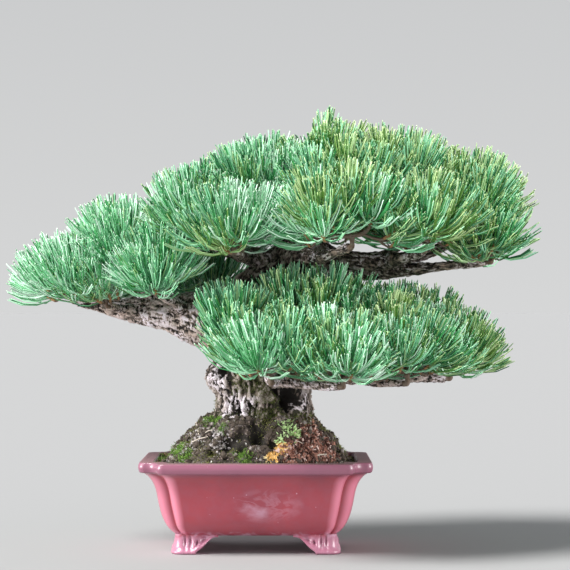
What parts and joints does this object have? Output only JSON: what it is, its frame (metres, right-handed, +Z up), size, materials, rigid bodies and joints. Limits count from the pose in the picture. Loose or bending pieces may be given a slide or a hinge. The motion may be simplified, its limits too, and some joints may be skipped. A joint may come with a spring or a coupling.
{
  "type": "potted bonsai pine",
  "caption": "Dwarf pine trained with layered pads of blue-green needles on a thick gnarled trunk, planted in a footed red clay pot.",
  "frame": {"origin": "on the surface that the pot stands on, under the middle of the whole tree's box", "axes": "+Z up; +X towards the tree's right as the front shows it, along its longest spread; +Y from the front to the back"},
  "size_m": [0.4268, 0.2798, 0.3569],
  "materials": {
    "red_clay": "unglazed matt red clay with pale mineral marks",
    "soil": "dark granular soil with grit, bark chips and moss",
    "bark": "old flaking grey-brown bark",
    "needles": "glaucous green needles in tufts"
  },
  "bodies": {
    "root": {"crown_apex": "needles", "crown_back": "needles", "crown_back_bough": "bark", "crown_front": "needles", "crown_front_bough": "bark", "crown_left": "needles", "crown_left_back": "needles", "crown_left_back_bough": "bark", "crown_left_bough": "bark", "crown_left_front": "needles", "crown_left_front_bough": "bark", "crown_middle": "needles", "crown_middle_bough": "bark", "crown_right": "needles", "crown_right_back": "needles", "crown_right_back_bough": "bark", "crown_right_bough": "bark", "crown_right_front": "needles", "crown_right_front_bough": "bark", "crown_right_low": "needles", "crown_right_low_bough": "bark", "crown_top_left": "needles", "crown_top_left_bough": "bark", "crown_top_right": "needles", "crown_top_right_bough": "bark", "left_back": "needles", "left_back_bough": "bark", "left_bough": "bark", "left_front": "needles", "left_front_bough": "bark", "left_inner": "needles", "left_inner_bough": "bark", "left_low": "needles", "left_low_bough": "bark", "left_tip": "needles", "left_top": "needles", "left_top_bough": "bark", "low_back": "needles", "low_back_bough": "bark", "low_front_bough": "bark", "low_front_left": "needles", "low_front_right": "needles", "low_front_right_bough": "bark", "low_inner": "needles", "low_inner_bough": "bark", "low_left": "needles", "low_left_bough": "bark", "low_middle": "needles", "low_middle_bough": "bark", "low_right": "needles", "low_right_back": "needles", "low_right_back_bough": "bark", "low_right_bough": "bark", "low_right_front": "needles", "low_right_front_bough": "bark", "pot": "red_clay", "root_ball": "soil", "trunk": "bark"}
  },
  "joints": []
}
